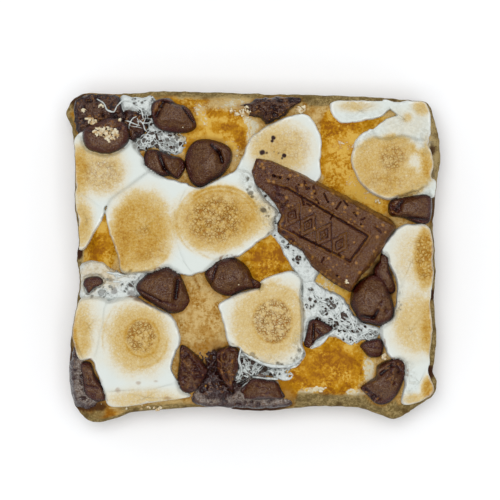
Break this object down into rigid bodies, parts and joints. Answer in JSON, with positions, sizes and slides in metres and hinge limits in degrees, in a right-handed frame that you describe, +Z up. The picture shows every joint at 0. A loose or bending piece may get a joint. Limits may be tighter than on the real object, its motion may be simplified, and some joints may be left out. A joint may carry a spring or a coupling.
{
  "type": "smores bar",
  "caption": "Square smores bar: a baked cookie dough slab topped with toasted marshmallows, melted marshmallow, chocolate chips and a broken piece of moulded chocolate.",
  "frame": {"origin": "middle of the underside, on the surface that the bar rests on", "axes": "+Z up, +X across the bar to the right, +Y from the front edge to the back edge, which is the upper edge when the bar is seen from above"},
  "size_m": [0.0822, 0.0728, 0.0263],
  "materials": {
    "baked_dough": "golden brown baked cookie dough with a crumbly surface",
    "toasted_marshmallow": "white marshmallow toasted tan to golden brown on top",
    "melted_marshmallow": "white melted marshmallow full of small bubble holes",
    "milk_chocolate": "milk chocolate with a soft satin sheen"
  },
  "bodies": {
    "root": {"chip_01": "milk_chocolate", "chip_02": "milk_chocolate", "chip_03": "milk_chocolate", "chip_04": "milk_chocolate", "chip_05": "milk_chocolate", "chip_06": "milk_chocolate", "chip_07": "milk_chocolate", "chip_08": "milk_chocolate", "chip_09": "milk_chocolate", "chip_10": "milk_chocolate", "chip_11": "milk_chocolate", "chip_12": "milk_chocolate", "chip_13": "milk_chocolate", "chip_14": "milk_chocolate", "chip_15": "milk_chocolate", "chip_16": "milk_chocolate", "chip_17": "milk_chocolate", "chocolate_disc": "milk_chocolate", "chocolate_piece": "milk_chocolate", "cookie_slab": "baked_dough", "marshmallow_01": "toasted_marshmallow", "marshmallow_02": "toasted_marshmallow", "marshmallow_03": "toasted_marshmallow", "marshmallow_04": "toasted_marshmallow", "marshmallow_05": "toasted_marshmallow", "marshmallow_06": "toasted_marshmallow", "marshmallow_07": "toasted_marshmallow", "marshmallow_08": "toasted_marshmallow", "marshmallow_09": "toasted_marshmallow", "marshmallow_10": "toasted_marshmallow", "marshmallow_11": "toasted_marshmallow", "marshmallow_12": "toasted_marshmallow", "marshmallow_13": "toasted_marshmallow", "marshmallow_14": "toasted_marshmallow", "marshmallow_15": "toasted_marshmallow", "marshmallow_16": "toasted_marshmallow", "melted_chocolate_back": "milk_chocolate", "melted_chocolate_back_left": "milk_chocolate", "melted_chocolate_front": "milk_chocolate", "melted_chocolate_left": "milk_chocolate", "melted_marshmallow_1": "melted_marshmallow", "melted_marshmallow_2": "melted_marshmallow", "melted_marshmallow_3": "melted_marshmallow", "melted_marshmallow_4": "melted_marshmallow", "melted_marshmallow_5": "melted_marshmallow"}
  },
  "joints": []
}
